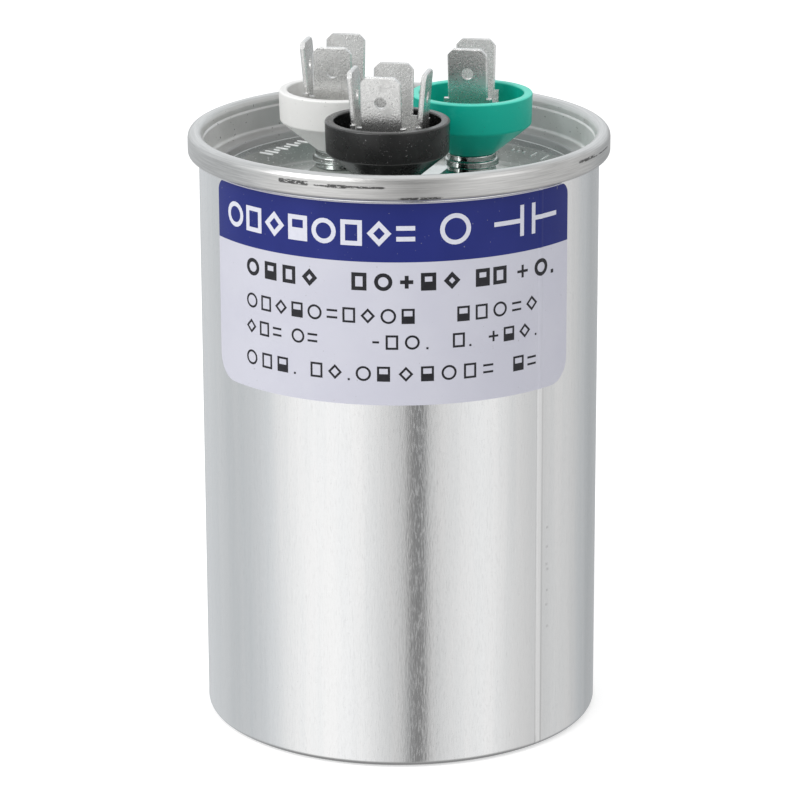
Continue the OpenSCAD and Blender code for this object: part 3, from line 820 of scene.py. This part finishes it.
def shape(kind, left, low, width, height, wall):
    """One plain shape as convex pieces."""
    bar_low = low + (height - wall) / 2
    if kind == "w":
        return window(left, low, width, height, wall)
    if kind == "t":
        return window(left, low, width, height, wall) + [
            bar(left + wall, low + wall, width - 2 * wall, height / 2 - wall)]
    if kind == "o":
        return oval(left, low, width, height, wall)
    if kind == "d":
        return diamond(left, low, width, height, wall)
    if kind == "=":
        return [bar(left, low + height * 0.2, width, wall),
                bar(left, low + height * 0.8 - wall, width, wall)]
    if kind == ".":
        return [bar(left, low, wall, wall)]
    if kind == "-":
        return [bar(left, bar_low, width, wall)]
    arm = (width - wall) / 2
    return [bar(left, bar_low, arm, wall), bar(left + arm + wall, bar_low, arm, wall),
            bar(left + arm, low + height * 0.14, wall, height * 0.72)]


def row(kinds, left, right, low, height, wall):
    """A row of plain shapes, spread evenly from left to right."""
    widths = [max(SHAPE_WIDTHS[kind] * height, wall) for kind in kinds]
    gap = (right - left - sum(widths)) / max(1, len(kinds) - 1)
    pieces = []
    for kind, width in zip(kinds, widths):
        pieces += shape(kind, left, low, width, height, wall)
        left += width + gap
    return pieces


def capacitor_sign(left, right, low, height, wall):
    """Two facing plates with a lead to each: the plain sign for a capacitor."""
    middle, gap, lead_low = (left + right) / 2, height * 0.32, low + (height - wall) / 2
    left_plate, right_plate = middle - gap / 2 - wall, middle + gap / 2
    return [
        bar(left, lead_low, left_plate - left, wall),
        bar(left_plate, low, wall, height),
        bar(right_plate, low, wall, height),
        bar(right_plate + wall, lead_low, right - right_plate - wall, wall),
    ]


# Widths of the print's strokes: on the band, then heavy, medium and thin ones on the panel
BAND_WALL, BOLD, MEDIUM, THIN = 0.72, 0.60, 0.42, 0.34
# The rows on the panel: shapes, left and right ends, foot, height and width of the strokes
PANEL_ROWS = (
    ("otwd", -26.5, -12.9, 78.0, 2.8, BOLD), ("wo+td", -7.4, 9.4, 78.0, 2.8, BOLD),
    ("tw", 11.9, 17.2, 78.0, 2.8, BOLD), ("+", 19.2, 21.2, 78.0, 2.8, MEDIUM),
    ("o.", 22.6, 26.8, 78.0, 2.8, BOLD),
    ("owdto=wdot", -26.6, 2.3, 72.8, 2.4, THIN), ("two=d", 8.9, 23.2, 72.8, 2.4, THIN),
    ("dw=", -26.7, -19.4, 68.7, 2.3, THIN), ("o=", -17.5, -13.0, 68.7, 2.3, THIN),
    ("-wo.", -4.2, 4.4, 68.7, 2.3, THIN), ("w.", 8.2, 11.2, 68.7, 2.3, THIN),
    ("+td.", 14.1, 23.1, 68.7, 2.3, THIN),
    ("owt.", -26.8, -16.8, 63.6, 2.4, THIN), ("wd.ot", -14.2, -1.5, 63.6, 2.4, THIN),
    ("dtow=", -0.2, 14.9, 63.6, 2.4, THIN), ("t=", 18.5, 23.0, 63.6, 2.4, THIN),
)


def label(film, ink_white, ink_dark):
    """The film, white shapes on its band, and four dark rows of plain shapes on its panel."""
    sheet = lay_on_wall("label_sheet", film, film_outlines(), -FILM_T, FILM_T)
    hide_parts("label")

    band_foot, sign_h = 85.0, 4.9
    white = row("owdtowd=", -31.2, 2.4, band_foot, 4.0, BAND_WALL)
    white += oval(6.2, band_foot, sign_h, sign_h, BAND_WALL, sides=28)
    white += capacitor_sign(15.0, 27.4, band_foot, sign_h, BAND_WALL)
    dark = []
    for panel_row in PANEL_ROWS:
        dark += row(*panel_row)
    ink_gap, ink_t = 0.002, 0.010
    for name, ink_finish, print_shapes in (("print_white", ink_white, white),
                                           ("print_dark", ink_dark, dark)):
        lay_on_wall(name, ink_finish, sliced(print_shapes, film_stations()), ink_gap, ink_t)


# ---- Stamped strokes on the lid ----


# Where each row of strokes starts and ends on the deck, and its strokes: share of the way along,
# millimetres to the right of the row, half length, and lean in degrees
STROKE_ROWS = (
    ((-21.6, 11.0), (-15.4, 20.0), (
        (0.03, 0.0, 1.35, 0), (0.16, 0.0, 1.35, 0), (0.29, 0.0, 0.6, 0), (0.42, 0.0, 1.2, 0),
        (0.55, 0.0, 0.6, 0), (0.68, 0.0, 1.2, 0), (0.81, 0.0, 0.6, 0), (0.94, 0.0, 1.1, 0))),
    ((18.6, 13.8), (23.2, 7.0), (
        (0.05, 0.4, 0.4, 32), (0.20, 0.2, 0.4, 32), (0.35, 0.0, 0.4, 32),
        (0.62, -0.3, 1.4, 32), (0.95, -0.6, 1.6, 32))),
)


def stroke_points(centre, ahead, half_length):
    """The corners of one raised stroke, four to a level, from under the deck to its crest."""
    half_w, height, sunk = 0.17, 0.12, 0.06
    side = Vector((-ahead.y, ahead.x))
    points = []
    for level, inset in ((-sunk, 0), (height * 0.6, half_w * 0.2), (height, half_w * 0.6)):
        for a, b in ((-1, -1), (1, -1), (1, 1), (-1, 1)):
            spot = centre + ahead * a * (half_length - inset) + side * b * (half_w - inset)
            points.append(Vector((*spot, DECK + level)) * MM)
    return points


def stroke_faces(base):
    """The closed faces of the stroke whose first corner is number base."""
    levels = [[base + level + k for k in range(4)] for level in (0, 4, 8)]
    faces = [levels[0][::-1]]
    for lower, upper in zip(levels, levels[1:]):
        for k in range(4):
            n = next_in(lower, k)
            faces.append([lower[k], lower[n], upper[n], upper[k]])
    return faces + [levels[-1]]


def lid_strokes(material):
    """Short raised strokes, stamped in two rows on the deck beside the back cups."""
    points, faces = [], []
    for start, end, marks in STROKE_ROWS:
        start, end = Vector(start), Vector(end)
        run = (end - start).normalized()
        right = Vector((run.y, -run.x))
        for share, offset, half_length, lean in marks:
            centre = start.lerp(end, share) + right * offset
            ahead = Matrix.Rotation(math.radians(lean), 2) @ right
            faces += stroke_faces(len(points))
            points += stroke_points(centre, ahead, half_length)
    strokes = placed("lid_strokes", new_mesh("lid_strokes", points, faces, material))
    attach(strokes, "root")


# ---- Studio ----

# What bright metal sees level with it, at each angle from the front
ROUND_ABOUT = (
    (-180, 0.50), (-165, 0.66), (-150, 0.67), (-132, 0.645), (-116, 0.60), (-102, 0.62),
    (-90, 0.66), (-80, 0.77), (-70, 0.90), (-60, 0.98), (-48, 1.02), (-32, 1.02), (-22, 0.94),
    (-14, 0.82), (-6, 0.70), (0, 0.61), (3.5, 0.46), (6.5, 0.26), (12, 0.22), (14.5, 0.40),
    (17.5, 0.62), (26, 0.75), (38, 0.86), (48, 0.92), (56, 0.88), (68, 0.74), (80, 0.66),
    (90, 0.63), (102, 0.69), (114, 0.67), (146, 0.44), (180, 0.50))
# What it sees higher up
OVERHEAD = (
    (-180, 1.06), (-150, 0.96), (-125, 0.82), (-95, 0.82), (-60, 0.90), (-35, 0.70), (-15, 0.32),
    (0, 0.26), (15, 0.32), (35, 0.70), (60, 0.85), (90, 0.64), (130, 0.74), (160, 0.92),
    (180, 1.06))
# What it sees straight above and straight below, the tint of the sides and back, and the light
# that falls on everything else
ZENITH, NADIR, COOL, FILL = grey(0.92), grey(0.4), (0.965, 0.995, 1.02, 1), grey(0.75)


def studio_world():
    """White behind everything. Bright metal sees two soft boxes with a slit between them."""
    world = bpy.data.worlds.new("studio")
    bpy.context.scene.world = world
    world.use_nodes = True
    s = Sheet(world.node_tree)
    way = s.node("ShaderNodeTexCoord", output="Generated")
    x, y, z = (s.node("ShaderNodeSeparateXYZ", {}, [way], axis) for axis in range(3))
    azimuth = x.maths("ARCTAN2", y * -1) * math.degrees(1)
    share_of_turn = azimuth / 360 + 0.5
    level, above = (s.node("ShaderNodeValToRGB", {
        "stops": [(angle / 360 + 0.5, brightness) for angle, brightness in stops]}, [share_of_turn])
        for stops in (ROUND_ABOUT, OVERHEAD))
    panorama = s.mix(z.rise(-0.05, 0.22), level, above)
    panorama = s.mix(z.rise(0.86, 0.95), panorama, ZENITH)
    cool = (azimuth.rise(-60, -95) + azimuth.rise(115, 140)).rise(0, 1)
    panorama = s.node("ShaderNodeMix", {"data_type": "RGBA", "blend_type": "MULTIPLY"},
                      {0: cool, 6: panorama, 7: COOL}, output=2)
    panorama = s.mix(z.rise(-0.5, -0.9), panorama, NADIR)

    seen, mirrored, through = (s.node("ShaderNodeLightPath", output=kind) for kind in (
        "Is Camera Ray", "Is Glossy Ray", "Is Transmission Ray"))
    colour = s.mix(mirrored, FILL, panorama)
    colour = s.mix((seen + through).rise(0, 1), colour, grey(1.0))
    shade = s.node("ShaderNodeBackground", {}, {"Color": colour, "Strength": 1.0})
    output = s.tree.nodes.new("ShaderNodeOutputWorld")
    s.tree.links.new(shade.socket, output.inputs[0])


def soft_lamp(name, place, aim, size, watts):
    """A rectangular soft box at a place, turned to face the aim."""
    lamp = bpy.data.lights.new(name, "AREA")
    lamp.shape = "RECTANGLE"
    lamp.size, lamp.size_y = size
    lamp.energy = watts
    soft_box = placed(name, lamp)
    soft_box.location = place
    soft_box.rotation_euler = (Vector(aim) - Vector(place)).to_track_quat("-Z", "Y").to_euler()


def floor():
    """A pale floor that fades into the white behind it and keeps the object's soft shadow."""
    material = bpy.data.materials.new("floor_pale")
    material.use_nodes = True
    s = Sheet(material.node_tree)
    seen = s.node("ShaderNodeLightPath", output="Is Camera Ray")
    matt = s.node("ShaderNodeBsdfDiffuse", {}, {"Color": (0.86, 0.86, 0.86, 1)})
    # Only the camera sees the glow, which lifts the lit floor to white
    glow = s.node("ShaderNodeEmission", {}, {"Color": (1, 1, 1, 1), "Strength": seen * 0.42})
    both = s.node("ShaderNodeAddShader", {}, [matt, glow])
    output = s.tree.nodes.new("ShaderNodeOutputMaterial")
    s.tree.links.new(both.socket, output.inputs[0])

    half, level = 1.5, -0.0002
    corners = [(*corner, level) for corner in bar(-half, -half, 2 * half, 2 * half)]
    plane = placed("floor", new_mesh("floor", corners, [(0, 1, 2, 3)], material))
    plane.visible_glossy = False


def camera():
    """Looks down on the front of the can from a long way off. Angles in radians."""
    pitch, roll = 0.2994, -0.0038
    lens = bpy.data.cameras.new("camera")
    lens.sensor_width = 36
    lens.lens = 174.1
    view = placed("camera", lens)
    view.matrix_world = (Matrix.Translation((0, -0.5985, 0.2356))
                         @ Matrix.Rotation(math.pi / 2 - pitch, 4, "X")
                         @ Matrix.Rotation(roll, 4, "Z"))
    bpy.context.scene.camera = view


def main():
    """Finishes the part's nodes, adds the drawn pieces and sets up the studio."""
    finishes = finish_of_nodes()
    for name, material in finishes.items():
        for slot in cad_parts[name].material_slots:
            slot.material = material
    drawn_can(finishes["can"])
    label(finishes["label"], ink("ink_white", (0.66, 0.67, 0.75), (0.45, 0.46, 0.56)),
          ink("ink_dark", (0.010, 0.010, 0.014), (0.06, 0.06, 0.075)))
    lid_strokes(stamped_mark())

    studio_world()
    middle = (0, 0, 0.06)
    soft_lamp("lamp_left", (-0.55, -0.45, 0.55), middle, (0.5, 0.7), 3.6)
    soft_lamp("lamp_right", (0.6, -0.4, 0.5), middle, (0.4, 0.7), 0.5)
    floor()
    camera()
    bpy.context.scene.view_settings.view_transform = "Standard"


main()
